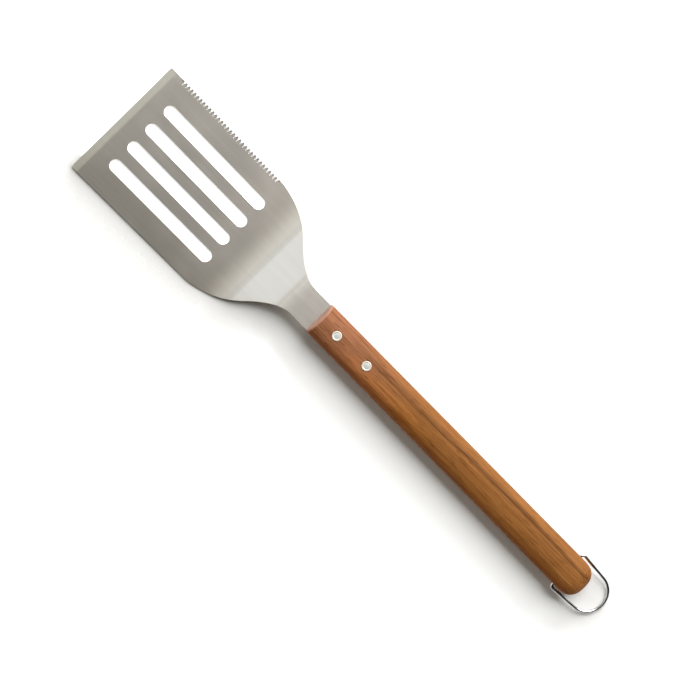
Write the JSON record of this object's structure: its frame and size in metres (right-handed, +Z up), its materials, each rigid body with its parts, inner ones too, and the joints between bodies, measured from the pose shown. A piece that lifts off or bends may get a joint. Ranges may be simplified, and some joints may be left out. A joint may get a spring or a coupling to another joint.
{
  "type": "barbecue spatula",
  "caption": "Long-handled grill spatula: slotted steel blade with one serrated edge, cranked neck riveted into a hardwood handle, swinging wire hanging loop at the end.",
  "frame": {"origin": "centre of the part's box on the surface that it lies on, with the loop lying down", "axes": "+X along the tool from the blade's tip to the hanging loop, +Y towards the serrated edge, +Z up from the surface it lies on"},
  "size_m": [0.477, 0.098, 0.022],
  "materials": {
    "blade_steel": "fine brushed satin, grain along the blade",
    "handle_wood": "oiled red-brown hardwood, grain along the handle",
    "rivet_steel": "bright, ground almost flush",
    "loop_wire": "bright drawn wire"
  },
  "bodies": {
    "tool": {"blade": "blade_steel", "handle": "handle_wood", "rivet_front_sleeve": "rivet_steel", "rivet_front_pin": "rivet_steel", "rivet_rear_sleeve": "rivet_steel", "rivet_rear_pin": "rivet_steel"},
    "loop": {"hanging_loop": "loop_wire"}
  },
  "joints": [
    {"name": "loop_swing", "type": "hinge", "parent": "tool", "child": "loop", "pos_m": [0.2014, 0, 0.01073], "axis": [0, -1, 0], "range_deg": [-146, 174]}
  ]
}
